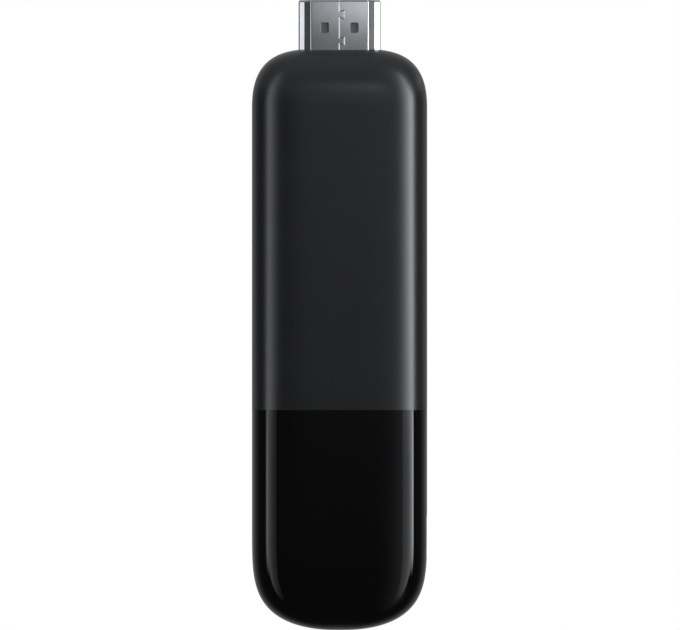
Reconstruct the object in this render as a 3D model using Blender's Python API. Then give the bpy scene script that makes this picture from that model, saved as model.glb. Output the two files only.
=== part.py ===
"""Streaming media player: a stick that plugs into a television's HDMI socket.

The frame: the origin is the middle of the HDMI plug on the plane of the body's top end, +Z runs out through
the plug, the front cover faces -Y, and the power port is on the +X side. All sizes are in metres.
"""

import math

import bmesh
import bpy

MM = 0.001

# Body: a pillow-shaped stick, moulded in three covers.
body_length = 98.6 * MM
body_width = 29.7 * MM
body_thickness = 15.4 * MM
top_round = 10.2 * MM
bottom_round = 18.3 * MM
gloss_cover_length = 37.4 * MM
wall = 1.6 * MM
seam_gap = 0.15 * MM
section_curve = (4.5, 2.3)
top_curve = (2.45, 4.0, 2.3)
bottom_curve = (4.26, 2.3, 2.3)
ring_points = 56
end_rings = 12
end_flat_shares = (0.3, 0.12)

# Lap joints between the covers.
lap_gap = 0.15 * MM
lip_sink = 0.05 * MM
side_lip_height = 1.3 * MM
side_lip_room = 0.2 * MM
end_lip_length = 2.4 * MM
upper_lip_from_top = 14.0 * MM
upper_lip_from_gloss = 5.2 * MM
lower_lip_from_gloss = 4.8 * MM
lower_lip_length = 9.5 * MM
snap_from_lip_end = 8.0 * MM
snap_length = 3.6 * MM
snap_height = 0.5 * MM
snap_from_lip_edge = 0.15 * MM
snap_depth = 0.3 * MM

# HDMI plug, in its standard size.
plug_length = 8.2 * MM
plug_width = 13.9 * MM
plug_height = 4.45 * MM
plug_shoulder_width = 11.9 * MM
plug_shoulder_drop = (2.62 * MM, 3.15 * MM)
plug_narrow_width = 9.7 * MM
plug_back_corner = 0.75 * MM
plug_bend = 0.5 * MM
plug_shoulder_bend = 0.35 * MM
smallest_bend = 0.05 * MM
plug_sheet = 0.3 * MM
plug_tail = 11.0 * MM
plug_lead_in = (0.35 * MM, 0.15 * MM)
plug_opening_gap = 0.2 * MM
plug_leg_length = 4.2 * MM
latch_window = (1.41 * MM, 1.73 * MM)
latch_spacing = 5.0 * MM
latch_from_tip = 4.73 * MM
latch_corner = 0.4 * MM
seam_slit = 0.08 * MM
seam_keys_from_tip = (2.5 * MM, 6.97 * MM)
seam_key_neck = 1.0 * MM
seam_key_head = 1.45 * MM
seam_key_length = 0.85 * MM

# HDMI insulator and its contacts.
insulator_gap = 0.1 * MM
insulator_from_tip = 1.0 * MM
insulator_inside = 10.4 * MM
slot_width = 10.6 * MM
slot_height = 2.0 * MM
slot_offset = 0.25 * MM
slot_depth = 7.4 * MM
contact_pitch = 1.0 * MM
contact_counts = (10, 9)
contact_width = 0.4 * MM
contact_sheet = 0.18 * MM
contact_gap = 0.08 * MM
contact_bump = 0.35 * MM
contact_from_tip = 1.6 * MM
contact_tail_length = 2.2 * MM
contact_tail_lift = 0.1 * MM
contact_tip_length = 0.8 * MM

# Main board.
board_side_gap = 0.95 * MM
board_thickness = 1.0 * MM
board_from_plug = 0.3 * MM
board_from_bottom = 7.6 * MM
board_corner = 5.0 * MM
board_top_corner = 0.8 * MM
part_gap = 0.15 * MM
chip_lift = 0.1 * MM

# Chips and coils: width, height and thickness, and how far their middles are from what they stand by.
processor_size = (12.0 * MM, 12.0 * MM, 1.0 * MM)
processor_from_can_top = 10.5 * MM
memory_size = (7.5 * MM, 13.3 * MM, 1.0 * MM)
memory_spacing = 9.4 * MM
memory_from_can_bottom = 9.0 * MM
storage_size = (13.0 * MM, 11.5 * MM, 1.0 * MM)
storage_from_can_top = 9.0 * MM
radio_size = (12.0 * MM, 12.0 * MM, 1.0 * MM)
radio_from_can_bottom = 10.0 * MM
clock_size = (3.2 * MM, 2.5 * MM, 0.7 * MM)
clock_from_processor = (-8.0 * MM, -3.5 * MM)
power_chip_size = (4.0 * MM, 4.0 * MM, 0.8 * MM)
power_chip_from_gloss = (0.5 * MM, -14.3 * MM)
coil_size = (3.0 * MM, 3.0 * MM, 1.4 * MM)
coils_from_gloss = ((-2.6 * MM, -7.8 * MM), (1.4 * MM, -7.8 * MM), (-4.2 * MM, -14.3 * MM))

# Shield cans, heat pads and heat sinks, the same on both faces of the board.
can_side_gap = 1.6 * MM
can_from_board_top = 15.7 * MM
can_past_gloss = 0.8 * MM
can_height = 2.4 * MM
can_sheet = 0.2 * MM
sink_pad_size = (14.0 * MM, 26.0 * MM, 0.8 * MM)
sink_side_gap = 1.9 * MM
sink_past_can = 1.0 * MM
sink_cover_gap = 0.8 * MM
sink_groove_width = 1.4 * MM
sink_groove_depth = 0.5 * MM
sink_groove_pitch = 2.9 * MM
sink_groove_count = 5

# Board screws, with bosses in the rear cover.
upper_screw_from_board_top = (-8.4 * MM, -8.7 * MM)
lower_screw_from_port = (-6.4 * MM, -1.5 * MM)
screw_head = 3.0 * MM
screw_head_height = 0.9 * MM
screw_shank = 1.4 * MM
screw_length = 4.2 * MM
screw_gap = 0.15 * MM
screw_cross = (1.7 * MM, 0.4 * MM, 0.5 * MM)
boss_width = 3.8 * MM

# Power port: a micro-USB receptacle sunk into the board's edge.
port_from_bottom = 16.1 * MM
port_width = 7.3 * MM
port_thickness = 2.3 * MM
port_chamfer = 0.75 * MM
port_depth = 5.2 * MM
port_inset = 0.7 * MM
port_corner = 0.3 * MM
port_bend = 0.2 * MM
port_sheet = 0.2 * MM
port_opening_gap = 0.15 * MM
port_board_gap = 0.4 * MM
port_wing = (1.5 * MM, 1.2 * MM)
port_wing_from_back = 1.0 * MM
port_block_depth = 1.2 * MM
port_tongue_width = 3.8 * MM
port_tongue_thickness = 0.6 * MM
port_tongue_from_mouth = 0.7 * MM
port_contact_count = 5
port_contact_pitch = 0.65 * MM
port_contact_width = 0.35 * MM
port_contact_sheet = 0.12 * MM
port_contact_tail = 0.9 * MM
port_contact_from_end = 0.3 * MM

# Antennas: stamped sheet metal on two feet, behind the gloss cover.
antenna_size = (3.4 * MM, 11.0 * MM)
antenna_sheet = 0.2 * MM
antenna_height = 2.6 * MM
antenna_foot = 1.2 * MM
antenna_foot_spacing = 4.0 * MM
antenna_from_board_side = 2.7 * MM
antenna_from_gloss = 9.8 * MM
antenna_names = ("wifi_antenna", "bluetooth_antenna")

# Places that follow from the sizes above.
plug_tip = plug_length
gloss_line = gloss_cover_length - body_length
lower_lip_top = gloss_line - lower_lip_from_gloss
upper_lip_span = (gloss_line + upper_lip_from_gloss, -upper_lip_from_top)
lower_lip_span = (lower_lip_top - lower_lip_length, lower_lip_top)
side_lip_spans = (upper_lip_span, lower_lip_span)
snap_places = (
    upper_lip_span[0] + snap_from_lip_end,
    upper_lip_span[1] - snap_from_lip_end,
    lower_lip_top - lower_lip_length / 2,
)
port_mouth = body_width / 2 - port_inset
port_height = port_from_bottom - body_length
half_board = board_thickness / 2
board_width = body_width - 2 * (wall + board_side_gap)
board_top = -plug_tail - board_from_plug
board_bottom = board_from_bottom - body_length
can_width = board_width - 2 * can_side_gap
can_top = board_top - can_from_board_top
can_bottom = gloss_line - can_past_gloss
can_length = can_top - can_bottom
can_middle = (can_top + can_bottom) / 2
sink_width = can_width - 2 * sink_side_gap
sink_length = can_length + 2 * sink_past_can
processor_place = (0.0, can_top - processor_from_can_top)
storage_place = (0.0, can_top - storage_from_can_top)
radio_place = (0.0, can_bottom + radio_from_can_bottom)
screw_places = (
    (upper_screw_from_board_top[0], board_top + upper_screw_from_board_top[1]),
    (lower_screw_from_port[0], port_height + lower_screw_from_port[1]),
)


def clear_scene():
    for obj in list(bpy.data.objects):
        bpy.data.objects.remove(obj, do_unlink=True)


def material(name, colour, roughness, metallic=0.0):
    made = bpy.data.materials.new(name)
    made.use_nodes = True
    shader = made.node_tree.nodes["Principled BSDF"]
    shader.inputs["Base Color"].default_value = (*colour, 1.0)
    shader.inputs["Roughness"].default_value = roughness
    shader.inputs["Metallic"].default_value = metallic
    return made


# Shapes

def loft(name, rings, look=None):
    """A closed solid through rings of equal point counts, with a flat cap on the first and the last."""
    mesh = bpy.data.meshes.new(name)
    build = bmesh.new()
    rows = [[build.verts.new(point) for point in ring] for ring in rings]
    for lower, upper in zip(rows, rows[1:]):
        for i in range(len(lower)):
            j = (i + 1) % len(lower)
            build.faces.new((lower[i], lower[j], upper[j], upper[i]))
    build.faces.new(rows[0])
    build.faces.new(rows[-1])
    bmesh.ops.recalc_face_normals(build, faces=build.faces)
    build.to_mesh(mesh)
    build.free()
    obj = bpy.data.objects.new(name, mesh)
    bpy.context.scene.collection.objects.link(obj)
    if look is not None:
        mesh.materials.append(look)
    return obj


def extrude_z(name, outline, start, end, look=None):
    return loft(name, [[(x, y, z) for x, y in outline] for z in (start, end)], look)


def extrude_y(name, outline, start, end, look=None):
    return loft(name, [[(x, y, z) for x, z in outline] for y in (start, end)], look)


def extrude_x(name, outline, start, end, look=None):
    return loft(name, [[(x, y, z) for y, z in outline] for x in (start, end)], look)


def rectangle(width, height, middle=(0.0, 0.0)):
    u, v = middle
    return [
        (u - width / 2, v - height / 2),
        (u + width / 2, v - height / 2),
        (u + width / 2, v + height / 2),
        (u - width / 2, v + height / 2),
    ]


def box(name, x_range, y_range, z_range, look=None):
    x_middle, y_middle = sum(x_range) / 2, sum(y_range) / 2
    outline = rectangle(x_range[1] - x_range[0], y_range[1] - y_range[0], (x_middle, y_middle))
    return extrude_z(name, outline, z_range[0], z_range[1], look)


def plate(name, size, place, y_range, look=None):
    """A flat piece lying in the plane of the board: its width and height, its middle and its y range."""
    return extrude_y(name, rectangle(size[0], size[1], place), y_range[0], y_range[1], look)


def offset(points, distance, closed=True):
    """The points of a path moved square to its own edges, to the path's right, with mitred corners."""
    moved = []
    count = len(points)
    for i, (u, v) in enumerate(points):
        edges = []
        if closed or i > 0:
            before = points[i - 1]
            edges.append((u - before[0], v - before[1]))
        if closed or i < count - 1:
            after = points[(i + 1) % count]
            edges.append((after[0] - u, after[1] - v))
        normals = [(dv / math.hypot(du, dv), -du / math.hypot(du, dv)) for du, dv in edges]
        across = (sum(n[0] for n in normals), sum(n[1] for n in normals))
        stretch = len(normals) * distance / (across[0] ** 2 + across[1] ** 2)
        moved.append((u + across[0] * stretch, v + across[1] * stretch))
    return moved


def thick_path(points, thickness):
    """The outline of a strip of even thickness along an open path."""
    right = offset(points, thickness / 2, closed=False)
    left = offset(points, -thickness / 2, closed=False)
    return right + left[::-1]


def round_corners(points, radii, steps=4):
    """A closed outline with each corner replaced by an arc of its own radius."""
    rounded = []
    count = len(points)
    for i, (u, v) in enumerate(points):
        if radii[i] <= 0:
            rounded.append((u, v))
            continue
        before, after = points[i - 1], points[(i + 1) % count]
        to_before = math.atan2(before[1] - v, before[0] - u)
        to_after = math.atan2(after[1] - v, after[0] - u)
        opening = (to_after - to_before + math.pi) % (2 * math.pi) - math.pi
        reach = radii[i] / math.sin(abs(opening) / 2)
        middle = to_before + opening / 2
        centre = (u + reach * math.cos(middle), v + reach * math.sin(middle))
        side = 1.0 if opening > 0 else -1.0
        first = to_before - side * math.pi / 2
        sweep = side * (abs(opening) - math.pi)
        for k in range(steps + 1):
            angle = first + sweep * k / steps
            rounded.append((centre[0] + radii[i] * math.cos(angle), centre[1] + radii[i] * math.sin(angle)))
    return rounded


def combine(target, operation, *others):
    """A Boolean of the target with each of the others in turn, which are used up."""
    for other in others:
        step = target.modifiers.new(operation.lower(), "BOOLEAN")
        step.operation = operation
        step.object = other
        depsgraph = bpy.context.evaluated_depsgraph_get()
        result = bpy.data.meshes.new_from_object(target.evaluated_get(depsgraph))
        target.modifiers.clear()
        target.data = result
        bpy.data.objects.remove(other, do_unlink=True)
    return target


def cut(target, *others):
    return combine(target, "DIFFERENCE", *others)


def add(target, *others):
    return combine(target, "UNION", *others)


def keep(target, other):
    return combine(target, "INTERSECT", other)


def smooth(obj, degrees=35.0):
    obj.data.shade_smooth()
    obj.data.set_sharp_from_angle(angle=math.radians(degrees))
    return obj


# Outlines

def section_ring():
    """One turn around the body's section as shares of its half width and half thickness, front first.

    No point lies on the middle lines, so a narrow facet there is truly flat on all four sides.
    """
    turns = [2 * math.pi * (i + 0.5) / ring_points for i in range(ring_points)]
    ring = []
    for turn in turns:
        c, s = math.cos(turn), math.sin(turn)
        u = math.copysign(abs(c) ** (2 / section_curve[0]), c)
        v = math.copysign(abs(s) ** (2 / section_curve[1]), s)
        ring.append((u, v))
    widest = max(u for u, v in ring)
    thickest = max(v for u, v in ring)
    return [(u / widest, v / thickest) for u, v in ring]


def end_steps(length, curve, smallest):
    """Distances past the straight stretch of a rounded end, with the shares of full width and thickness."""
    along, across, deep = curve
    steps = []
    last = math.acos(smallest ** (across / 2))
    for i in range(end_rings + 1):
        turn = last * i / end_rings
        steps.append((length * math.sin(turn) ** (2 / along), math.cos(turn) ** (2 / across),
                      math.cos(turn) ** (2 / deep)))
    return steps


def pod(inset, name="pod", look=None):
    """The body's whole outer form, or the same form a wall's thickness further in."""
    half_width = body_width / 2 - inset
    half_thickness = body_thickness / 2 - inset
    ring = section_ring()
    stations = []
    for reach, wide, deep in reversed(end_steps(bottom_round - inset, bottom_curve, end_flat_shares[1])):
        stations.append((-body_length + bottom_round - reach, wide, deep))
    for reach, wide, deep in end_steps(top_round - inset, top_curve, end_flat_shares[0]):
        stations.append((-top_round + reach, wide, deep))
    rings = []
    for z, wide, deep in stations:
        rings.append([(half_width * wide * u, half_thickness * deep * v, z) for u, v in ring])
    return loft(name, rings, look)


def plug_outline(inset=0.0):
    """The HDMI plug's section, wide face to the back, moved in by an inset."""
    top = plug_height / 2
    shoulder_side = top - plug_shoulder_drop[0]
    shoulder_inner = top - plug_shoulder_drop[1]
    right = [
        (plug_narrow_width / 2, -top),
        (plug_shoulder_width / 2, shoulder_inner),
        (plug_width / 2, shoulder_side),
        (plug_width / 2, top),
    ]
    bends = (plug_bend - inset, plug_shoulder_bend + inset, plug_bend - inset, plug_back_corner - inset)
    left = [(-x, y) for x, y in reversed(right)]
    sharp = offset(right + left, -inset)
    radii = [max(radius, smallest_bend) for radius in bends]
    return round_corners(sharp, radii + radii[::-1], 3)


def port_outline(inset=0.0):
    """The power port's section across the body and up it, its two front corners cut off."""
    half_depth, half_width = port_thickness / 2, port_width / 2
    sharp = [
        (half_depth, -half_width),
        (half_depth, half_width),
        (-half_depth + port_chamfer, half_width),
        (-half_depth, half_width - port_chamfer),
        (-half_depth, -half_width + port_chamfer),
        (-half_depth + port_chamfer, -half_width),
    ]
    radii = [max(radius - inset, smallest_bend) for radius in 2 * [port_corner] + 4 * [port_bend]]
    rounded = round_corners(offset(sharp, -inset), radii, 2)
    return [(y, z + port_height) for y, z in rounded]


# Covers

def half_space(front):
    """A block holding everything in front of the parting line, or everything behind it."""
    reach = body_width
    y_range = (-reach, -seam_gap / 2) if front else (seam_gap / 2, reach)
    return box("half", (-reach, reach), y_range, (-2 * body_length, body_length))


def slab(z_range, y_range=(-body_width, body_width)):
    return box("slab", (-body_width, body_width), y_range, z_range)


def plug_opening():
    return extrude_z("plug opening", plug_outline(-plug_opening_gap), -plug_tail, plug_length)


def port_opening():
    return extrude_x("port opening", port_outline(-port_opening_gap), port_mouth - port_depth, body_width)


def cover_blank(name, look, front, z_range):
    blank = pod(0.0, name, look)
    cut(blank, pod(wall))
    keep(blank, half_space(front))
    keep(blank, slab(z_range))
    return blank


def side_recess():
    """The room that the rear cover's lips take up inside the front covers' walls."""
    room = pod(wall / 2)
    spans = [
        slab((low - lap_gap, high + lap_gap), (-side_lip_height - side_lip_room, body_thickness))
        for low, high in side_lip_spans
    ]
    add(spans[0], *spans[1:])
    keep(room, spans[0])
    return room


def snap_blocks(grow):
    """The snap hooks on the lips, or with a gap around them the pockets that take them."""
    outer = body_width / 2 - wall / 2 - lap_gap + snap_depth + grow
    inner = body_width / 2 - wall
    low = -side_lip_height + snap_from_lip_edge - grow
    blocks = []
    for place in snap_places:
        for side in (-1, 1):
            x_range = sorted((side * inner, side * outer))
            z_range = (place - snap_length / 2 - grow, place + snap_length / 2 + grow)
            blocks.append(box("snap", x_range, (low, low + snap_height + 2 * grow), z_range))
    return blocks


def front_cover(look):
    top = (gloss_line + seam_gap / 2, body_length)
    cover = cover_blank("front_cover", look, True, top)
    lip = pod(wall / 2 + lap_gap, "lip")
    cut(lip, pod(wall + lip_sink))
    keep(lip, half_space(True))
    lip_y = (-body_thickness, -side_lip_height - lap_gap)
    keep(lip, slab((gloss_line - end_lip_length, gloss_line + wall), lip_y))
    add(cover, lip)
    cut(cover, side_recess(), plug_opening())
    cut(cover, *snap_blocks(lap_gap))
    return smooth(cover)


def gloss_cover(look):
    bottom = (-2 * body_length, gloss_line - seam_gap / 2)
    cover = cover_blank("front_gloss_cover", look, True, bottom)
    room = pod(wall / 2)
    keep(room, slab((gloss_line - end_lip_length - lap_gap, gloss_line + wall)))
    cut(cover, room, side_recess(), port_opening())
    cut(cover, *snap_blocks(lap_gap))
    return smooth(cover)


def rear_cover(look):
    cover = cover_blank("rear_cover", look, False, (-2 * body_length, body_length))
    for low, high in side_lip_spans:
        lip = pod(wall / 2 + lap_gap, "lip")
        cut(lip, pod(wall + lip_sink))
        keep(lip, slab((low, high), (-side_lip_height, wall)))
        for side in (-1, 1):
            reach = sorted((0.0, side * body_width))
            strip = keep(copy_of(lip), box("side", reach, (-body_thickness, body_thickness), (2 * low, 0.0)))
            add(cover, strip)
        bpy.data.objects.remove(lip, do_unlink=True)
    add(cover, *snap_blocks(0.0))
    boss_top = body_thickness / 2 - wall / 2
    for place in screw_places:
        add(cover, rod("boss", boss_width / 2, place, (half_board + part_gap, boss_top)))
        bore = screw_shank / 2 + screw_gap
        cut(cover, rod("bore", bore, place, (0.0, screw_length + part_gap)))
    cut(cover, plug_opening(), port_opening())
    return smooth(cover)


def copy_of(obj):
    twin = bpy.data.objects.new(obj.name, obj.data.copy())
    bpy.context.scene.collection.objects.link(twin)
    return twin


def rod(name, radius, place, y_range, look=None, sides=20):
    turns = [2 * math.pi * i / sides for i in range(sides)]
    outline = [(place[0] + radius * math.cos(t), place[1] + radius * math.sin(t)) for t in turns]
    return extrude_y(name, outline, y_range[0], y_range[1], look)


# HDMI plug

def seam_path(start, end):
    """The line where the folded sheet meets itself, with its dovetail keys."""
    points = [(0.0, start)]
    for from_tip in sorted(seam_keys_from_tip, reverse=True):
        middle = plug_tip - from_tip
        points += [
            (0.0, middle - seam_key_neck / 2),
            (seam_key_length, middle - seam_key_head / 2),
            (seam_key_length, middle + seam_key_head / 2),
            (0.0, middle + seam_key_neck / 2),
        ]
    points.append((0.0, end))
    return points


def hdmi_shell(look):
    lead_length, lead_inset = plug_lead_in
    stations = ((-plug_tail, 0.0), (plug_tip - lead_length, 0.0), (plug_tip, lead_inset))
    shell = loft("hdmi_shell", [[(x, y, z) for x, y in plug_outline(inset)] for z, inset in stations], look)
    leg_y = (plug_height / 2 - plug_shoulder_drop[0] + plug_bend, plug_height / 2 - plug_back_corner)
    leg_z = (-plug_tail - plug_leg_length, -plug_tail + plug_sheet)
    for side in (-1, 1):
        leg_x = sorted((side * (plug_width / 2 - plug_sheet), side * plug_width / 2))
        add(shell, box("leg", leg_x, leg_y, leg_z))
    cut(shell, extrude_z("bore", plug_outline(plug_sheet), -2 * plug_tail, 2 * plug_tip))
    for side in (-1, 1):
        middle = (side * latch_spacing / 2, plug_tip - latch_from_tip)
        window = round_corners(rectangle(*latch_window, middle), [latch_corner] * 4, 3)
        cut(shell, extrude_y("window", window, -plug_height, plug_height))
    slit = thick_path(seam_path(-2 * plug_tail, 2 * plug_length), seam_slit)
    cut(shell, extrude_y("slit", slit, -plug_height, -plug_height / 2 + 2 * plug_sheet))
    return smooth(shell)


def contact_rows():
    """Each row of contacts: its y, the way to the slot's middle, and the x of each contact."""
    rows = []
    for side, count in zip((1, -1), contact_counts):
        y = slot_offset + side * (slot_height / 2 - contact_sheet / 2)
        xs = [contact_pitch * (i - (count - 1) / 2) for i in range(count)]
        rows.append((y, -side, xs))
    return rows


def hdmi_insulator(look):
    front = plug_tip - insulator_from_tip
    outline = plug_outline(plug_sheet + insulator_gap)
    block = extrude_z("hdmi_insulator", outline, -insulator_inside, front, look)
    half_slot = slot_height / 2
    slot_y = (slot_offset - half_slot, slot_offset + half_slot)
    cut(block, box("slot", (-slot_width / 2, slot_width / 2), slot_y, (front - slot_depth, 2 * front)))
    half_channel = contact_sheet / 2 + contact_gap
    for y, inward, xs in contact_rows():
        for x in xs:
            x_range = (x - contact_width / 2 - contact_gap, x + contact_width / 2 + contact_gap)
            y_range = (y - half_channel, y + half_channel)
            cut(block, box("channel", x_range, y_range, (-2 * plug_tail, 2 * front)))
    return block


def hdmi_contacts(look):
    """The nineteen spring contacts, each from its tail on the board to its bump in the slot."""
    front = plug_tip - contact_from_tip
    number = 0
    for y, inward, xs in contact_rows():
        tail_y = -inward * (half_board + contact_tail_lift + contact_sheet / 2)
        path = [
            (tail_y, board_top - contact_tail_length),
            (tail_y, board_top + part_gap),
            (y, -insulator_inside - smallest_bend),
            (y, front - 2 * contact_tip_length),
            (y + inward * contact_bump, front - contact_tip_length),
            (y + inward * smallest_bend, front),
        ]
        outline = thick_path(path, contact_sheet)
        for x in xs:
            number += 1
            x_range = (x - contact_width / 2, x + contact_width / 2)
            extrude_x(f"hdmi_contact_{number:02d}", outline, *x_range, look)


# Board and what sits on it

def main_board(look):
    middle = (0.0, (board_top + board_bottom) / 2)
    blank = rectangle(board_width, board_top - board_bottom, middle)
    outline = round_corners(blank, 2 * [board_corner] + 2 * [board_top_corner], 5)
    board = extrude_y("main_board", outline, -half_board, half_board, look)
    through = (-board_thickness, board_thickness)
    for side in (-1, 1):
        leg_middle = side * (plug_width - plug_sheet) / 2
        width = plug_sheet + 2 * screw_gap
        depth = plug_tail + plug_leg_length + part_gap
        cut(board, box("leg slot", (leg_middle - width / 2, leg_middle + width / 2), through, (-depth, 0.0)))
    for place in screw_places:
        cut(board, rod("screw hole", screw_shank / 2 + 2 * screw_gap, place, through))
    notch_x = (port_mouth - port_depth - port_board_gap, body_width)
    half_notch = port_width / 2 + port_board_gap
    cut(board, box("port notch", notch_x, through, (port_height - half_notch, port_height + half_notch)))
    return board


def on_board(name, size, place, side, look):
    """A chip or a coil on the board's front face (side -1) or rear face (side 1)."""
    near = half_board + chip_lift
    y_range = sorted((side * near, side * (near + size[2])))
    return plate(name, size, place, y_range, look)


def shield_can(name, side, look):
    near = half_board + chip_lift
    far = half_board + can_height
    can = plate(name, (can_width, can_length), (0.0, can_middle), sorted((side * near, side * far)), look)
    inside = (can_width - 2 * can_sheet, can_length - 2 * can_sheet)
    cut(can, plate("inside", inside, (0.0, can_middle), sorted((0.0, side * (far - can_sheet)))))
    return can


def chip_pad(name, size, place, side, look):
    """The heat pad that fills the room between a chip and its shield can."""
    near = half_board + chip_lift + size[2] + part_gap
    far = half_board + can_height - can_sheet - part_gap
    return plate(name, size, place, sorted((side * near, side * far)), look)


def heat_sink(name, side, look):
    near = half_board + can_height + sink_pad_size[2] + 2 * part_gap
    far = body_thickness / 2 - wall - sink_cover_gap
    groove = far - sink_groove_depth
    sink = plate(name, (sink_width, sink_length), (0.0, can_middle), sorted((side * near, side * far)), look)
    for i in range(sink_groove_count):
        x = sink_groove_pitch * (i - (sink_groove_count - 1) / 2)
        size = (sink_groove_width, 2 * sink_length)
        cut(sink, plate("groove", size, (x, can_middle), sorted((side * groove, side * 2 * far))))
    return sink


def sink_pad(name, side, look):
    near = half_board + can_height + part_gap
    far = near + sink_pad_size[2]
    return plate(name, sink_pad_size, (0.0, can_middle), sorted((side * near, side * far)), look)


def board_screw(name, place, look):
    under_head = -half_board - chip_lift
    top = under_head - screw_head_height
    screw = rod(name, screw_head / 2, place, (top, under_head), look)
    shank_y = (under_head - screw_head_height / 2, screw_length)
    add(screw, rod("shank", screw_shank / 2, place, shank_y))
    long, thin, deep = screw_cross
    for size in ((long, thin), (thin, long)):
        cut(screw, plate("cross", size, place, (top - deep, top + deep)))
    return smooth(screw)


def antenna(name, place, look):
    top = -half_board - antenna_height
    blade = plate(name, antenna_size, place, (top, top + antenna_sheet), look)
    for i in (0, 1):
        z = place[1] + antenna_size[1] / 2 - antenna_foot / 2 - i * antenna_foot_spacing
        x = place[0] + math.copysign(antenna_size[0] / 2 - antenna_sheet / 2, place[0])
        leg = (x - antenna_sheet / 2, x + antenna_sheet / 2)
        add(blade, box("foot", leg, (top + antenna_sheet / 2, -half_board - chip_lift),
            (z - antenna_foot / 2, z + antenna_foot / 2)))
    return blade


# Power port

def usb_shell(look):
    back = port_mouth - port_depth
    shell = extrude_x("usb_shell", port_outline(), back, port_mouth, look)
    wing_reach = port_width / 2 + port_wing[1]
    wing_x = (back + port_wing_from_back, back + port_wing_from_back + port_wing[0])
    wing_y = (half_board + chip_lift, half_board + chip_lift + port_sheet)
    add(shell, box("wings", wing_x, wing_y, (port_height - wing_reach, port_height + wing_reach)))
    cut(shell, extrude_x("bore", port_outline(port_sheet), back - port_depth, body_width))
    return smooth(shell)


def usb_tongue(look):
    back = port_mouth - port_depth
    inset = port_sheet + insulator_gap
    block = extrude_x("usb_insulator", port_outline(inset), back, back + port_block_depth, look)
    half_tongue, half_width = port_tongue_thickness / 2, port_tongue_width / 2
    tongue = box("tongue", (back + port_block_depth / 2, port_mouth - port_tongue_from_mouth),
        (-half_tongue, half_tongue), (port_height - half_width, port_height + half_width))
    add(block, tongue)
    gap = contact_gap
    for z in port_contact_heights():
        y_range = (half_tongue - port_contact_sheet, half_tongue + port_contact_sheet + gap)
        z_range = (z - port_contact_width / 2 - gap, z + port_contact_width / 2 + gap)
        cut(block, box("groove", (back - port_depth, body_width), y_range, z_range))
    return block


def port_contact_heights():
    first = port_height - port_contact_pitch * (port_contact_count - 1) / 2
    return [first + port_contact_pitch * i for i in range(port_contact_count)]


def usb_contacts(look):
    """The five contacts, each from its tail on the board's rear face along its groove in the tongue."""
    back = port_mouth - port_depth
    low = port_tongue_thickness / 2 - port_contact_sheet + contact_gap
    row_y = low + port_contact_sheet / 2
    tail_y = half_board + chip_lift + port_contact_sheet / 2
    path = [
        (back - port_board_gap - port_contact_tail, tail_y),
        (back - port_board_gap, tail_y),
        (back - contact_gap, row_y),
        (port_mouth - port_tongue_from_mouth - port_contact_from_end, row_y),
    ]
    outline = thick_path(path, port_contact_sheet)
    for i, z in enumerate(port_contact_heights()):
        z_range = (z - port_contact_width / 2, z + port_contact_width / 2)
        extrude_z(f"usb_contact_{i + 1}", outline, *z_range, look)


clear_scene()

front_cover(material("matte black plastic", (0.016, 0.016, 0.018), 0.5))
gloss_cover(material("gloss black plastic", (0.006, 0.006, 0.007), 0.06))
rear_cover(material("matte black rear plastic", (0.016, 0.016, 0.018), 0.55))

hdmi_shell(material("bright plated steel", (0.72, 0.71, 0.70), 0.22, 1.0))
hdmi_insulator(material("black insulator plastic", (0.015, 0.015, 0.016), 0.5))
hdmi_contacts(material("gold plating", (0.83, 0.61, 0.28), 0.25, 1.0))

main_board(material("black board lacquer", (0.01, 0.03, 0.02), 0.4))
chip_look = material("moulded chip", (0.02, 0.02, 0.022), 0.5)
on_board("processor_chip", processor_size, processor_place, -1, chip_look)
for number, side in ((1, -1), (2, 1)):
    place = (side * memory_spacing / 2, can_bottom + memory_from_can_bottom)
    on_board(f"memory_chip_{number}", memory_size, place, -1, chip_look)
on_board("storage_chip", storage_size, storage_place, 1, chip_look)
on_board("radio_chip", radio_size, radio_place, 1, chip_look)
power_chip_place = (power_chip_from_gloss[0], gloss_line + power_chip_from_gloss[1])
on_board("power_chip", power_chip_size, power_chip_place, -1, chip_look)
clock_place = (clock_from_processor[0], processor_place[1] + clock_from_processor[1])
on_board("clock_crystal", clock_size, clock_place, -1, material("crystal can", (0.6, 0.6, 0.58), 0.3, 1.0))
coil_look = material("ferrite coil", (0.07, 0.07, 0.075), 0.55)
for number, (across, along) in enumerate(coils_from_gloss, 1):
    on_board(f"power_coil_{number}", coil_size, (across, gloss_line + along), -1, coil_look)

can_look = material("tinned shield sheet", (0.62, 0.62, 0.6), 0.35, 1.0)
pad_look = material("grey heat pad", (0.3, 0.31, 0.33), 0.8)
sink_look = material("aluminium heat sink", (0.6, 0.6, 0.61), 0.4, 1.0)
chip_pad("processor_heat_pad", processor_size, processor_place, -1, pad_look)
chip_pad("radio_heat_pad", radio_size, radio_place, 1, pad_look)
for end, side in (("front", -1), ("rear", 1)):
    shield_can(f"{end}_shield_can", side, can_look)
    sink_pad(f"{end}_heat_pad", side, pad_look)
    heat_sink(f"{end}_heat_sink", side, sink_look)

screw_look = material("zinc plated screw", (0.6, 0.6, 0.58), 0.3, 1.0)
for end, place in zip(("upper", "lower"), screw_places):
    board_screw(f"{end}_board_screw", place, screw_look)
antenna_look = material("antenna sheet", (0.75, 0.74, 0.7), 0.3, 1.0)
antenna_side = board_width / 2 - antenna_from_board_side
for name, side in zip(antenna_names, (-1, 1)):
    antenna(name, (side * antenna_side, gloss_line - antenna_from_gloss), antenna_look)

usb_shell(material("port sheet", (0.7, 0.7, 0.69), 0.25, 1.0))
usb_tongue(material("port insulator", (0.015, 0.015, 0.016), 0.45))
usb_contacts(material("port gold plating", (0.83, 0.61, 0.28), 0.25, 1.0))
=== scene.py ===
import math

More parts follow.
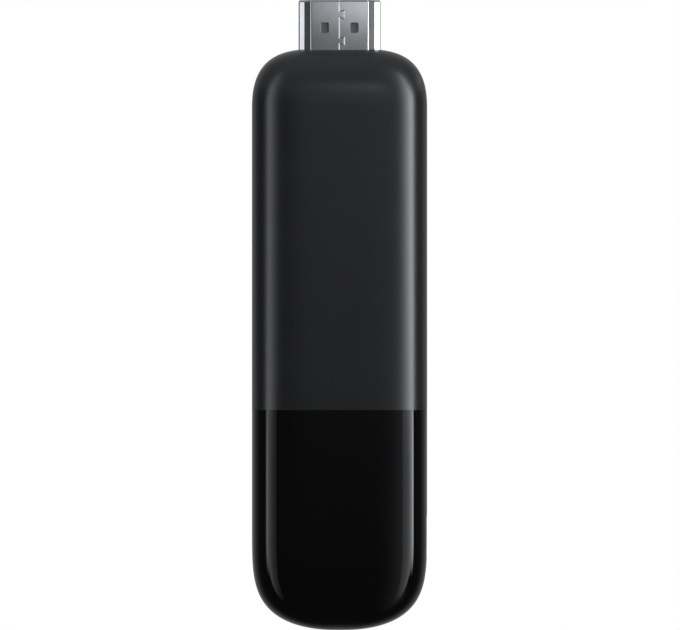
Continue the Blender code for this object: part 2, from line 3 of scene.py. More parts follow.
import bmesh
import bpy
import numpy as np
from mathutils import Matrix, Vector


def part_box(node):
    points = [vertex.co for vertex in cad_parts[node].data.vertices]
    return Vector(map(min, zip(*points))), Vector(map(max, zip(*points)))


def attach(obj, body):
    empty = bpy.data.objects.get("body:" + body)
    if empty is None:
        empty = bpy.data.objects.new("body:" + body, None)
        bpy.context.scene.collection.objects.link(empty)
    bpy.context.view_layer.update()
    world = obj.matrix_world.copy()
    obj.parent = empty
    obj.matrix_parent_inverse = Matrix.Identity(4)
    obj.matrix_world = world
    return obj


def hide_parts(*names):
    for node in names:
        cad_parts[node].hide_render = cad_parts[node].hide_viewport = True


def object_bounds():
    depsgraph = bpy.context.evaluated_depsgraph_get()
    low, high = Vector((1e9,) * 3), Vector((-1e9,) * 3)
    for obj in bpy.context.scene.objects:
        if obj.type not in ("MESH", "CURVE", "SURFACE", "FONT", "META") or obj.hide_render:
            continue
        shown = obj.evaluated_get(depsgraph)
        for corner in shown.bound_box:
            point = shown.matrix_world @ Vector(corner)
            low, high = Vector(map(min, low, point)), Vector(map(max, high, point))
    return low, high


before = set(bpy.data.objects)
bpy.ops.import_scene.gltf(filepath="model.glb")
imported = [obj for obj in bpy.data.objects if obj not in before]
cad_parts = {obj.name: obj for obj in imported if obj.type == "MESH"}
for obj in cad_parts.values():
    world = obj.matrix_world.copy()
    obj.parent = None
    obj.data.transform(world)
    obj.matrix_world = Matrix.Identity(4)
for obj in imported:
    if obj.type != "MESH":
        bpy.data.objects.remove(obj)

cad_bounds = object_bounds()
MM = 0.001


# ------------------------------------------------------------
# Rear cover. A black plastic tray with a pillow-shaped back, moulded in a spark-eroded tool that leaves an
# even matte grain. The two front covers snap onto its rim along the middle of the player's sides.

body_low, body_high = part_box("rear_cover")
body_bottom = body_low[2]
half_width = body_high[0]
half_thickness = body_high[1]
cover_wall = 1.6 * MM
top_round = 10.2 * MM
bottom_round = 18.3 * MM
parting_gap = 0.05 * MM
parting_edge = 0.09 * MM
merge_distance = 2e-7
# Powers of the superellipses that the section and the two rounded ends follow: the higher, the fuller.
section_across, section_through = 4.5, 2.3
top_along, top_across, top_through = 2.45, 4.0, 2.3
bottom_along, bottom_across = 4.26, 2.3


class Wire:
    """A socket in a material's node tree. Arithmetic on wires adds Math nodes to the tree."""

    def __init__(self, tree, socket=None):
        self.tree = tree
        self.socket = socket

    def node(self, kind, inputs=(), output=0, **settings):
        """Adds a node: first its settings, then a value or a wire for each socket, by name or by number."""
        made = self.tree.nodes.new("ShaderNode" + kind)
        for name, value in settings.items():
            setattr(made, name, value)
        for key, value in dict(inputs).items():
            if isinstance(value, Wire):
                self.tree.links.new(value.socket, made.inputs[key])
            else:
                made.inputs[key].default_value = value
        return Wire(self.tree, made.outputs[output] if len(made.outputs) else None)

    def math(self, operation, *values):
        """Adds a Math node of one operation."""
        return self.node("Math", enumerate(values), operation=operation)

    def __add__(self, other):
        return self.math("ADD", self, other)

    def __radd__(self, other):
        return self.math("ADD", other, self)

    def __sub__(self, other):
        return self.math("SUBTRACT", self, other)

    def __rsub__(self, other):
        return self.math("SUBTRACT", other, self)

    def __mul__(self, other):
        return self.math("MULTIPLY", self, other)

    def __rmul__(self, other):
        return self.math("MULTIPLY", other, self)

    def __truediv__(self, other):
        return self.math("DIVIDE", self, other)

    def __pow__(self, other):
        return self.math("POWER", self, other)

    def smooth(self, low, high):
        """0 below the low value, 1 above the high one, and an even curve between."""
        inputs = {"Value": self, "From Min": low, "From Max": high}
        return self.node("MapRange", inputs, interpolation_type="SMOOTHSTEP")

    def noise(self, scale, detail=3.0, roughness=0.5, stretch=(1.0, 1.0, 1.0)):
        """Noise of a given number of features a metre, stretched along the object's own axes."""
        place = self.node("TexCoord", output="Object")
        turned = self.node("Mapping", {"Vector": place, "Scale": stretch})
        inputs = {"Vector": turned, "Scale": scale, "Detail": detail, "Roughness": roughness}
        return self.node("TexNoise", inputs)

    def mixed(self, share, first, second):
        """A colour part of the way from the first to the second."""
        inputs = {0: share, 6: (*first, 1.0), 7: (*second, 1.0)}
        return self.node("Mix", inputs, output=2, data_type="RGBA")

    def bump(self, height, depth, strength=1.0):
        """A normal tilted by a height, where a height of 1 stands the given depth above the surface."""
        inputs = {"Height": height, "Distance": depth, "Strength": strength}
        return self.node("Bump", inputs)


def new_material(name):
    """An empty material, with a wire into its tree to start from."""
    material = bpy.data.materials.new(name)
    material.use_nodes = True
    material.node_tree.nodes.clear()
    return material, Wire(material.node_tree)


def finish_material(wire, **sockets):
    """Adds the Principled shader with its sockets, given by their names in lower case, and the output."""
    names = {"base": "Base Color", "metal": "Metallic", "rough": "Roughness", "ior": "IOR",
             "specular": "Specular IOR Level", "normal": "Normal"}
    shader = wire.node("BsdfPrincipled", {names[key]: value for key, value in sockets.items()})
    wire.node("OutputMaterial", {"Surface": shader})


def evenly(points, count):
    """Resamples a path so that half of its spacing follows its length and half follows its turning."""
    steps = np.diff(points, axis=0)
    lengths = np.hypot(steps[:, 0], steps[:, 1])
    heading = np.unwrap(np.arctan2(steps[:, 1], steps[:, 0]))
    turning = np.abs(np.diff(heading, append=heading[-1]))
    measure = lengths / lengths.sum() + turning / turning.sum()
    travelled = np.concatenate([[0.0], np.cumsum(measure)])
    wanted = np.linspace(0.0, travelled[-1], count)
    return np.stack([np.interp(wanted, travelled, points[:, i]) for i in (0, 1)], axis=1)


def quarter(first_power, second_power, count):
    """A quarter of a superellipse of unit size, from (1, 0) to (0, 1)."""
    turn = np.linspace(0.0, math.pi / 2, 4000)
    first = np.cos(turn) ** (2 / first_power)
    second = np.sin(turn) ** (2 / second_power)
    return evenly(np.stack([first, second], axis=1), count)


def body_stations(bottom, top):
    """Heights along the body with the shares of full width and thickness at each."""
    root = body_bottom + bottom_round
    lower = [(root - bottom_round * along, wide, wide)
             for wide, along in quarter(bottom_across, bottom_along, 46)]
    upper = [(top_round * (along - 1), wide, wide ** (top_across / top_through))
             for wide, along in quarter(top_across, top_along, 56)]
    middle_low, middle_high = max(bottom, root), min(top, -top_round)
    stations = [(z, 1.0, 1.0) for z in np.linspace(middle_low, middle_high, 32)]
    if bottom < root:
        stations = lower[:0:-1] + stations
    if top > -top_round:
        stations = stations + upper[1:]
    return stations


def moved_in(z, inset):
    """A height moved towards the body's middle, by the whole inset at a tip and by none between the ends."""
    root = body_bottom + bottom_round
    if z > -top_round:
        return -top_round + (z + top_round) * (1 - inset / top_round)
    if z < root:
        return root + (z - root) * (1 - inset / bottom_round)
    return z


def body_grid(bottom, top, side, inset, edge):
    """Rows of points over the front half (side -1) or the rear half (side 1) of the body's form.

    The rows run from the player's right side over the face to its left. At both sides the skin ends at the
    parting line, with a small rounded edge.
    """
    right = quarter(section_across, section_through, 64)
    left, corner = right[-2::-1] * (-1, 1), right[:1]
    section = np.concatenate([corner, corner, right, left, corner * (-1, 1), corner * (-1, 1)])
    rows = []
    for z, share, deep in body_stations(bottom, top):
        lift = min(1.0, 4 * share)
        x = (half_width - inset) * share * section[:, 0]
        y = np.maximum((half_thickness - inset) * deep * section[:, 1], parting_gap / 2 + edge * lift)
        # The three points at each side round the edge at the parting line.
        for i, (back, rise) in enumerate(((1.0, 0.0), (0.3, 0.3), (0.0, 1.0))):
            for end, way in ((i, -1), (-1 - i, 1)):
                x[end] += way * back * edge * share
                y[end] = parting_gap / 2 + rise * edge * lift
        rows.append(np.stack([x, side * y, np.full_like(x, moved_in(z, inset))], axis=1))
    return rows


def new_piece(name, build):
    """A mesh object from a bmesh, with doubles merged and its faces turned outwards."""
    bmesh.ops.remove_doubles(build, verts=build.verts, dist=merge_distance)
    bmesh.ops.dissolve_degenerate(build, edges=build.edges, dist=merge_distance)
    bmesh.ops.recalc_face_normals(build, faces=build.faces)
    mesh = bpy.data.meshes.new(name)
    build.to_mesh(mesh)
    build.free()
    piece = bpy.data.objects.new(name, mesh)
    bpy.context.scene.collection.objects.link(piece)
    return piece


def cover_shell(name, bottom, top, side):
    """A hollow half of the body between two heights: an outer skin, an inner skin and the rims between."""
    grids = [body_grid(bottom, top, side, 0.0, parting_edge), body_grid(bottom, top, side, cover_wall, 0.0)]
    build = bmesh.new()
    outer, inner = [[[build.verts.new(point) for point in row] for row in grid] for grid in grids]
    for grid in (outer, inner):
        for lower, upper in zip(grid, grid[1:]):
            for i in range(len(lower) - 1):
                build.faces.new((lower[i], lower[i + 1], upper[i + 1], upper[i]))
    rims = [([row[i] for row in outer], [row[i] for row in inner]) for i in (0, -1)]
    rims += [(outer[i], inner[i]) for i in (0, -1)]
    for first, second in rims:
        for i in range(len(first) - 1):
            build.faces.new((first[i], first[i + 1], second[i + 1], second[i]))
    return new_piece(name, build)


def baked(piece):
    """Applies a piece's modifiers."""
    depsgraph = bpy.context.evaluated_depsgraph_get()
    mesh = bpy.data.meshes.new_from_object(piece.evaluated_get(depsgraph))
    piece.modifiers.clear()
    piece.data = mesh
    return piece


def carve(piece, cutter, operation="DIFFERENCE"):
    """Cuts a cutter out of a piece, and removes the cutter."""
    step = piece.modifiers.new("carve", "BOOLEAN")
    step.operation = operation
    step.object = cutter
    baked(piece)
    bpy.data.objects.remove(cutter, do_unlink=True)


def shade(piece, material, degrees=30.0):
    """Smooth but for the real edges, with flat faces kept flat, and one material all over if given."""
    if material:
        piece.data.materials.clear()
        piece.data.materials.append(material)
    piece.data.shade_smooth()
    piece.data.set_sharp_from_angle(angle=math.radians(degrees))
    normals = piece.modifiers.new("normals", "WEIGHTED_NORMAL")
    normals.keep_sharp = True
    return baked(piece)


def fitted(piece, slot, *nodes):
    """The piece stands for its nodes and rides on the one body. Its slot is not used."""
    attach(piece, "root")
    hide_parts(*nodes)


def matte_plastic(name, seed):
    """Black plastic from a spark-eroded tool: fine even pits, slightly smoother where hands rub it."""
    material, wire = new_material(name)
    grain = wire.noise(9000.0 + seed, detail=2.0, roughness=0.6)
    mottle = wire.noise(160.0 + seed, detail=3.0)
    rough = 0.29 + (grain - 0.5) * 0.08 + (mottle - 0.5) * 0.03
    base = wire.mixed(mottle.smooth(0.3, 0.7), (0.0102, 0.0108, 0.0124), (0.0118, 0.0124, 0.0142))
    normal = wire.bump(grain, 0.004 * MM, 0.35)
    finish_material(wire, base=base, rough=rough, specular=0.9, ior=1.55, normal=normal)
    return material


def offset(points, distance):
    """A closed path moved square to its own edges, outwards for a positive distance, with mitred corners."""
    moved = []
    for i, (u, v) in enumerate(points):
        across = np.zeros(2)
        for a, b in ((points[i - 1], (u, v)), ((u, v), points[(i + 1) % len(points)])):
            length = math.hypot(b[0] - a[0], b[1] - a[1])
            across += ((b[1] - a[1]) / length, (a[0] - b[0]) / length)
        stretch = 2 * distance / (across @ across)
        moved.append((u + across[0] * stretch, v + across[1] * stretch))
    return moved


def rounded(points, radii, steps):
    """A closed outline with each corner replaced by an arc of its own radius."""
    outline = []
    for i, (u, v) in enumerate(points):
        before, after = points[i - 1], points[(i + 1) % len(points)]
        to_before = math.atan2(before[1] - v, before[0] - u)
        to_after = math.atan2(after[1] - v, after[0] - u)
        opening = (to_after - to_before + math.pi) % (2 * math.pi) - math.pi
        reach = radii[i] / math.sin(abs(opening) / 2)
        middle = to_before + opening / 2
        centre = (u + reach * math.cos(middle), v + reach * math.sin(middle))
        side = 1.0 if opening > 0 else -1.0
        for k in range(steps + 1):
            angle = to_before - side * math.pi / 2 + side * (abs(opening) - math.pi) * k / steps
            outline.append((centre[0] + radii[i] * math.cos(angle), centre[1] + radii[i] * math.sin(angle)))
    return outline


def loft(name, rings):
    """A closed solid through rings of equal point counts, with a flat cap at each end."""
    build = bmesh.new()
    rows = [[build.verts.new(point) for point in ring] for ring in rings]
    for lower, upper in zip(rows, rows[1:]):
        for i in range(len(lower)):
            j = (i + 1) % len(lower)
            build.faces.new((lower[i], lower[j], upper[j], upper[i]))
    build.faces.new(rows[0])
    build.faces.new(rows[-1])
    return new_piece(name, build)


def extruded(name, outline, axis, start, end):
    """A closed outline drawn out along an axis. The outline's pairs are places along the other two axes."""
    return loft(name, [[(*pair[:axis], along, *pair[axis:]) for pair in outline] for along in (start, end)])


plug_low, plug_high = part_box("hdmi_shell")
plug_tip = plug_high[2]
plug_half_width, plug_half_height = 6.95 * MM, 2.225 * MM
plug_outline_room = 0.12 * MM


def plug_outline(inset):
    """The HDMI plug's section: a wide flat back, straight sides, and an S-bend on each side of its front."""
    right = [(4.85 * MM, -plug_half_height), (5.95 * MM, -0.925 * MM), (plug_half_width, -0.395 * MM),
             (plug_half_width, plug_half_height)]
    bends = [0.5 * MM - inset, 0.35 * MM + inset, 0.5 * MM - inset, 0.75 * MM - inset]
    left = [(-x, y) for x, y in reversed(right)]
    radii = [max(bend, 0.05 * MM) for bend in bends]
    return rounded(offset(right + left, -inset), radii + radii[::-1], 8)


def plug_room(name):
    """What the plug's opening takes out of the covers."""
    return extruded(name, plug_outline(-plug_outline_room), 2, -4 * MM, 2 * MM)


port_low, port_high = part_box("usb_shell")
port_back, port_mouth = port_low[0], port_high[0]
port_middle = (port_low[2] + port_high[2]) / 2
port_half = 3.65 * MM
port_room = 0.15 * MM


def port_outline(inset):
    """The power port's section, across the player and along it, with its two front corners cut off."""
    deep, cut = 1.15 * MM, 0.75 * MM
    sharp = [(deep, -port_half), (deep, port_half), (-deep + cut, port_half), (-deep, port_half - cut),
             (-deep, -port_half + cut), (-deep + cut, -port_half)]
    radii = [max(radius * MM - inset, 0.05 * MM) for radius in (0.3, 0.3, 0.2, 0.2, 0.2, 0.2)]
    return [(y, z + port_middle) for y, z in rounded(offset(sharp, -inset), radii, 6)]


def port_opening(name):
    """What the port's opening takes out of the covers, with a small flare at its mouth."""
    mouth = half_width - 0.10 * MM
    stations = ((port_mouth - 4 * MM, 0.0), (mouth - 0.25 * MM, 0.0), (mouth + 0.25 * MM, 0.25 * MM),
                (mouth + 2 * MM, 0.25 * MM))
    rings = [[(x, y, z) for y, z in port_outline(-port_room - flare)] for x, flare in stations]
    return loft(name, rings)


def post(name, place, stations, count=28):
    """A turned shape standing square to the board: (y, radius) pairs round one place."""
    turns = [2 * math.pi * (i + 0.5) / count for i in range(count)]
    return loft(name, [[(place[0] + radius * math.cos(turn), y, place[1] + radius * math.sin(turn))
                        for turn in turns] for y, radius in stations])


rear_cover = cover_shell("rear_cover_moulding", body_bottom - MM, MM, 1)
board_low, board_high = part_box("main_board")
screw_boxes = [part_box(node) for node in ("upper_board_screw", "lower_board_screw")]
screw_places = [((low[0] + high[0]) / 2, (low[2] + high[2]) / 2) for low, high in screw_boxes]
boss_foot = board_high[1] + 0.15 * MM
boss_form = ((boss_foot, 1.8 * MM), (boss_foot + 0.1 * MM, 1.9 * MM), (6.4 * MM, 2.0 * MM))
boss_bore = ((-MM, 0.75 * MM), (boss_foot + 0.25 * MM, 0.75 * MM), (5.4 * MM, 0.55 * MM))
for place in screw_places:
    boss = post("boss", place, boss_form)
    carve(boss, post("bore", place, boss_bore))
    carve(rear_cover, boss, "UNION")
carve(rear_cover, plug_room("room"))
carve(rear_cover, port_opening("room"))
shade(rear_cover, matte_plastic("rear matte black plastic", 7.0))
fitted(rear_cover, "matte_cover", "rear_cover")


# ------------------------------------------------------------
# Main board. One-millimetre glass-fibre laminate under a dark green mask, routed to the covers' inside
# shape, with slots for the plug's legs, a notch for the power port and holes for its two screws.

board_mask, wire = new_material("dark green solder mask")
place = wire.node("TexCoord", output="Object")
laid = wire.node("Mapping", {"Vector": place, "Rotation": (math.pi / 2, 0.0, 0.0)})
layout = {"Vector": laid, "Scale": 1.0, "Mortar Size": 0.11 * MM, "Mortar Smooth": 0.3,
          "Brick Width": 5.3 * MM, "Row Height": 0.62 * MM}
tracks = wire.node("TexBrick", layout, output=1, offset=0.37, offset_frequency=3, squash=0.6,
                   squash_frequency=5)
patches = wire.noise(140.0, detail=1.0)
copper = tracks * patches.smooth(0.46, 0.50)
weave = wire.noise(5000.0, detail=2.0)
mask = wire.mixed(copper, (0.004, 0.022, 0.013), (0.008, 0.046, 0.026))
finish_material(wire, base=mask, rough=0.32 + (weave - 0.5) * 0.12,
                normal=wire.bump(copper + weave * 0.2, 0.02 * MM, 0.6))


def moulded_block(name, low, high, edge=0.0):
    """A block between two corners with its edges rounded."""
    build = bmesh.new()
    bmesh.ops.create_cube(build, size=1.0)
    for vertex in build.verts:
        vertex.co = [low[i] + (vertex.co[i] + 0.5) * (high[i] - low[i]) for i in range(3)]
    if edge > 0:
        bmesh.ops.bevel(build, geom=build.edges[:], offset=edge, segments=2, affect="EDGES", profile=0.5)
    return new_piece(name, build)


def bevelled(piece, width, segments=2):
    """Rounds every edge sharper than 50 degrees."""
    edges = piece.modifiers.new("edges", "BEVEL")
    edges.width = width
    edges.segments = segments
    edges.limit_method = "ANGLE"
    edges.angle_limit = math.radians(50.0)
    return baked(piece)


def sheet_outline(low, high, radii):
    """A rectangle seen from the front, between two corners of a box, with its four corners rounded."""
    corners = [(low[0], low[2]), (high[0], low[2]), (high[0], high[2]), (low[0], high[2])]
    return rounded(corners, radii, 6)


outline = sheet_outline(board_low, board_high, [5.0 * MM, 5.0 * MM, 0.8 * MM, 0.8 * MM])
board = extruded("main_board_laminate", outline, 1, board_low[1], board_high[1])
for side in (-1, 1):
    leg = side * (plug_high[0] - 0.15 * MM)
    slot_bottom = plug_low[2] - 0.15 * MM
    carve(board, moulded_block("slot", (leg - 0.3 * MM, -MM, slot_bottom), (leg + 0.3 * MM, MM, 0.0)))
for place in screw_places:
    carve(board, post("hole", place, ((-MM, 1.0 * MM), (MM, 1.0 * MM))))
notch = 0.4 * MM
carve(board, moulded_block("notch", (port_back - notch, -MM, port_middle - port_half - notch),
                           (half_width, MM, port_middle + port_half + notch)))
bevelled(board, 0.04 * MM, 1)
shade(board, board_mask)
fitted(board, "board", "main_board")


# ------------------------------------------------------------
# HDMI plug shell. Nickel-plated steel strip, 0.3 mm thick, folded round until its two edges meet down the
# front, where two dovetail keys lock them. Two windows in each broad face take the springs of the socket.

sheet = 0.3 * MM
leg_foot = plug_low[2]
lead_in = 0.35 * MM
window_width = 1.41 * MM
window_height = 1.73 * MM
window_corner = 0.3 * MM
window_spacing = 5.0 * MM
window_from_tip = 4.73 * MM
slit = 0.05 * MM
seam_round = 0.055 * MM
key_places = (2.5 * MM, 6.97 * MM)
key_neck, key_head, key_length = 1.0 * MM, 1.45 * MM, 0.85 * MM

nickel, wire = new_material("nickel plated sheet")
rolled = wire.noise(900.0, detail=4.0, roughness=0.6, stretch=(6.0, 1.0, 0.35))
smear = wire.noise(260.0, detail=3.0, roughness=0.6)
finish_material(
    wire,
    base=wire.mixed(smear.smooth(0.35, 0.7), (0.69, 0.70, 0.715), (0.76, 0.77, 0.785)),
    metal=1.0,
    rough=0.17 + (rolled - 0.5) * 0.10 + (smear - 0.5) * 0.08,
    normal=wire.bump(rolled, 0.002 * MM, 0.25),
)


def open_offset(path, distance):
    """An open path moved square to its own edges."""
    moved = []
    for i, point in enumerate(path):
        across = np.zeros(2)
        found = 0
        for a, b in ((i - 1, i), (i, i + 1)):
            if a >= 0 and b < len(path):
                step = (path[b][0] - path[a][0], path[b][1] - path[a][1])
                across += (step[1] / math.hypot(*step), -step[0] / math.hypot(*step))
                found += 1
        moved.append(tuple(np.array(point) + across * found * distance / (across @ across)))
    return moved


tail = -11.0 * MM
stations = ((tail, 0.0), (plug_tip - lead_in, 0.0), (plug_tip - 0.08 * MM, 0.11 * MM), (plug_tip, 0.18 * MM))
shell = loft("hdmi_plug_shell", [[(x, y, z) for x, y in plug_outline(inset)] for z, inset in stations])
carve(shell, extruded("bore", plug_outline(sheet), 2, 2 * tail, 2 * plug_tip))
for side in (-1, 1):
    leg = sorted((side * plug_half_width, side * (plug_half_width - sheet)))
    carve(shell, moulded_block("leg", (leg[0], 0.15 * MM, leg_foot), (leg[1], 1.4 * MM, tail + MM)), "UNION")
for side in (-1, 1):
    middle = (side * window_spacing / 2, plug_tip - window_from_tip)
    corners = [(middle[0] + u * window_width / 2, middle[1] + v * window_height / 2)
               for u, v in ((-1, -1), (1, -1), (1, 1), (-1, 1))]
    carve(shell, extruded("window", rounded(corners, [window_corner] * 4, 5), 1, -3 * MM, 3 * MM))

path = [(0.0, 2 * tail)]
for place in reversed(key_places):
    middle = plug_tip - place
    path += [(0.0, middle - key_neck / 2), (key_length, middle - key_head / 2),
             (key_length, middle + key_head / 2), (0.0, middle + key_neck / 2)]
path.append((0.0, 2 * plug_tip))
# The groove's mouth is flared, so that the two folded edges are rounded where they meet.
face = -plug_half_height
levels = ((face - 0.1 * MM, seam_round + 0.15 * MM), (face, seam_round), (face + 0.6 * seam_round, 0.0),
          (face + 2 * sheet, 0.0))
rings = []
for y, flare in levels:
    sides = [open_offset(path, way * (slit / 2 + flare)) for way in (1, -1)]
    rings.append([(x, y, z) for x, z in sides[0] + sides[1][::-1]])
carve(shell, loft("slit", rings))
bevelled(shell, 0.025 * MM)
shade(shell, nickel, 16.0)
fitted(shell, "plated_steel", "hdmi_shell")


# ------------------------------------------------------------
# HDMI insulator. A black moulding inside the plug's shell, with the slot that takes the socket's tongue and
# a channel for each contact down the slot's two long walls.

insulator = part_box("hdmi_insulator")
slot_half_width = 5.3 * MM
slot_low, slot_high = -0.75 * MM, 1.25 * MM
slot_depth = 7.4 * MM
contact_pitch = 1.0 * MM
contact_counts = {1: 10, -1: 9}
contact_width = 0.4 * MM
contact_sheet = 0.18 * MM
contact_room = 0.08 * MM


connector_black, wire = new_material("black connector plastic")
grain = wire.noise(5000.0, detail=2.0)
mottle = wire.noise(300.0)
finish_material(
    wire,
    base=wire.mixed(mottle.smooth(0.3, 0.7), (0.192, 0.192, 0.196), (0.24, 0.24, 0.245)),
    rough=0.45 + (mottle - 0.5) * 0.1,
    normal=wire.bump(grain, 0.003 * MM, 0.4),
)

back, front = insulator[0][2], insulator[1][2]
block = extruded("hdmi_insulator_moulding", plug_outline(sheet + 0.05 * MM), 2, back, front)
carve(block, moulded_block("slot", (-slot_half_width, slot_low, front - slot_depth),
                           (slot_half_width, slot_high, front + MM)))
rows = {1: slot_high - contact_sheet / 2, -1: slot_low + contact_sheet / 2}
reach = contact_width / 2 + contact_room
deep = contact_sheet / 2 + contact_room
for side, count in contact_counts.items():
    y = rows[side]
    for i in range(count):
        x = contact_pitch * (i - (count - 1) / 2)
        low, high = (x - reach, y - deep, 2 * tail), (x + reach, y + deep, 2 * front)
        carve(block, moulded_block("channel", low, high))
shade(block, connector_black)
fitted(block, "black_insulator", "hdmi_insulator")


# ------------------------------------------------------------
# HDMI contacts. Nineteen gold-plated springs stamped from strip, ten along the wide wall and nine along the
# narrow one. Each ends in a bump that presses on the socket's tongue, and in a tail soldered to the board.

gold, wire = new_material("gold plated contact")
worn = wire.noise(1500.0, detail=3.0)
finish_material(
    wire,
    base=wire.mixed(worn.smooth(0.4, 0.7), (0.86, 0.60, 0.24), (0.90, 0.68, 0.34)),
    metal=1.0,
    rough=0.18 + worn * 0.15,
    normal=wire.bump(worn, 0.001 * MM, 0.2),
)

line_tree = bpy.data.node_groups.new("copies in a line", "GeometryNodeTree")
sockets = line_tree.interface
sockets.new_socket("Geometry", in_out="INPUT", socket_type="NodeSocketGeometry")
line_inputs = {}
for name, kind in (("Count", "Int"), ("Step", "Vector"), ("Material", "Material")):
    socket = sockets.new_socket(name, in_out="INPUT", socket_type=f"NodeSocket{kind}")
    line_inputs[name] = socket.identifier
sockets.new_socket("Geometry", in_out="OUTPUT", socket_type="NodeSocketGeometry")
group_in = line_tree.nodes.new("NodeGroupInput")
line = line_tree.nodes.new("GeometryNodeMeshLine")
stand = line_tree.nodes.new("GeometryNodeInstanceOnPoints")
real = line_tree.nodes.new("GeometryNodeRealizeInstances")
paint = line_tree.nodes.new("GeometryNodeSetMaterial")
group_out = line_tree.nodes.new("NodeGroupOutput")
for source, target in (
    (group_in.outputs["Count"], line.inputs["Count"]),
    (group_in.outputs["Step"], line.inputs["Offset"]),
    (line.outputs["Mesh"], stand.inputs["Points"]),
    (group_in.outputs["Geometry"], stand.inputs["Instance"]),
    (stand.outputs["Instances"], real.inputs["Geometry"]),
    (real.outputs["Geometry"], paint.inputs["Geometry"]),
    (group_in.outputs["Material"], paint.inputs["Material"]),
    (paint.outputs["Geometry"], group_out.inputs["Geometry"]),
):
    line_tree.links.new(source, target)


def copies(piece, count, step, material):
    """Repeats a piece's mesh along a line, starting where it stands, as one plain mesh."""
    row = piece.modifiers.new("copies", "NODES")
    row.node_group = line_tree
    row[line_inputs["Count"]] = count
    row[line_inputs["Step"]] = step
    row[line_inputs["Material"]] = material
    return baked(piece)


def strip(path, thickness):
    """The outline of a strip of even thickness along an open path of pairs."""
    return open_offset(path, thickness / 2) + open_offset(path, -thickness / 2)[::-1]


board_top = board_high[2]
contact_tip = plug_tip - 1.6 * MM
number = 0
for side, count in contact_counts.items():
    y = rows[side]
    tail_y = side * (board_high[1] + 0.1 * MM + contact_sheet / 2)
    path = [(tail_y, board_top - 2.2 * MM), (tail_y, board_top + 0.15 * MM), (y, back - 0.05 * MM),
            (y, contact_tip - 1.6 * MM), (y - side * 0.12 * MM, contact_tip - 1.3 * MM),
            (y - side * 0.33 * MM, contact_tip - 0.9 * MM), (y - side * 0.33 * MM, contact_tip - 0.65 * MM),
            (y - side * 0.1 * MM, contact_tip - 0.15 * MM), (y - side * 0.05 * MM, contact_tip)]
    first = -contact_pitch * (count - 1) / 2
    blade = extruded(f"hdmi_contact_row_{'wide' if side > 0 else 'narrow'}", strip(path, contact_sheet), 0,
                     first - contact_width / 2, first + contact_width / 2)
    copies(blade, count, (contact_pitch, 0.0, 0.0), gold)
    shade(blade, gold, 25.0)
    fitted(blade, "gold_contact", *[f"hdmi_contact_{number + i + 1:02d}" for i in range(count)])
    number += count


# ------------------------------------------------------------
# Power port. A micro-USB receptacle sunk into the board's edge: a folded steel shell, a black tongue and
# five gold contacts, reached through an opening in the covers' right side.

port_sheet = 0.2 * MM
rings = [[(x, y, z) for y, z in port_outline(inset)]
         for x, inset in ((port_back, 0.0), (port_mouth - 0.05 * MM, 0.0), (port_mouth, 0.04 * MM))]
port = loft("usb_port_shell", rings)
carve(port, extruded("bore", port_outline(port_sheet), 0, 0.0, 2 * port_mouth))
wings = moulded_block("wings", (port_back + 1.0 * MM, 0.60 * MM, port_low[2]),
                      (port_back + 2.5 * MM, 0.80 * MM, port_high[2]))
carve(wings, extruded("room", port_outline(0.1 * MM), 0, 0.0, 2 * port_mouth))
carve(port, wings, "UNION")
shade(port, nickel, 35.0)
fitted(port, "plated_steel", "usb_shell")

tongue_low, tongue_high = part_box("usb_insulator")
block_face = tongue_low[0] + 1.2 * MM
outline = port_outline(port_sheet + 0.03 * MM)
tongue = extruded("usb_port_tongue", outline, 0, tongue_low[0], block_face)
blade = moulded_block("blade", (tongue_low[0] + 0.6 * MM, -0.3 * MM, port_middle - 1.9 * MM),
                      (tongue_high[0], 0.3 * MM, port_middle + 1.9 * MM), 0.08 * MM)
carve(tongue, blade, "UNION")
usb_pitch = 0.65 * MM
half_groove = 0.255 * MM
for i in range(5):
    z = port_middle + usb_pitch * (i - 2)
    low, high = (0.0, 0.18 * MM, z - half_groove), (2 * port_mouth, 0.5 * MM, z + half_groove)
    carve(tongue, moulded_block("groove", low, high))
shade(tongue, connector_black)
fitted(tongue, "black_insulator", "usb_insulator")

usb_low, usb_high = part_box("usb_contact_1")
finger = 0.12 * MM
path = [(usb_low[0], usb_high[1] - finger / 2), (port_back - 0.4 * MM, usb_high[1] - finger / 2),
        (port_back - 0.08 * MM, 0.32 * MM), (usb_high[0], 0.32 * MM)]
contacts = extruded("usb_port_contacts", strip(path, finger), 2, usb_low[2], usb_low[2] + 0.35 * MM)
copies(contacts, 5, (0.0, 0.0, usb_pitch), gold)
shade(contacts, gold, 25.0)
fitted(contacts, "gold_contact", *[f"usb_contact_{i + 1}" for i in range(5)])


# ------------------------------------------------------------
# Chips. Flat ball-grid packages: a thin green base with a moulded black cap, and rows of solder balls
# underneath that fasten them to the board. Two memories, the processor and the power chip face the front.

ball_pitch = 0.65 * MM
ball_room = 0.5 * MM
ball_radius = 0.17 * MM
mould, wire = new_material("chip moulding compound")
flecks = wire.noise(14000.0, detail=1.0)
cloud = wire.noise(500.0)
finish_material(
    wire,
    base=wire.mixed(cloud.smooth(0.3, 0.7), (0.012, 0.012, 0.013), (0.020, 0.020, 0.021)),
    rough=0.52 + (flecks - 0.5) * 0.2,
    normal=wire.bump(flecks, 0.004 * MM, 0.5),
)
solder, wire = new_material("solder")
dull = wire.noise(3000.0)
finish_material(wire, base=wire.mixed(dull, (0.46, 0.46, 0.47), (0.62, 0.62, 0.63)), metal=1.0,
                rough=0.30 + dull * 0.25)


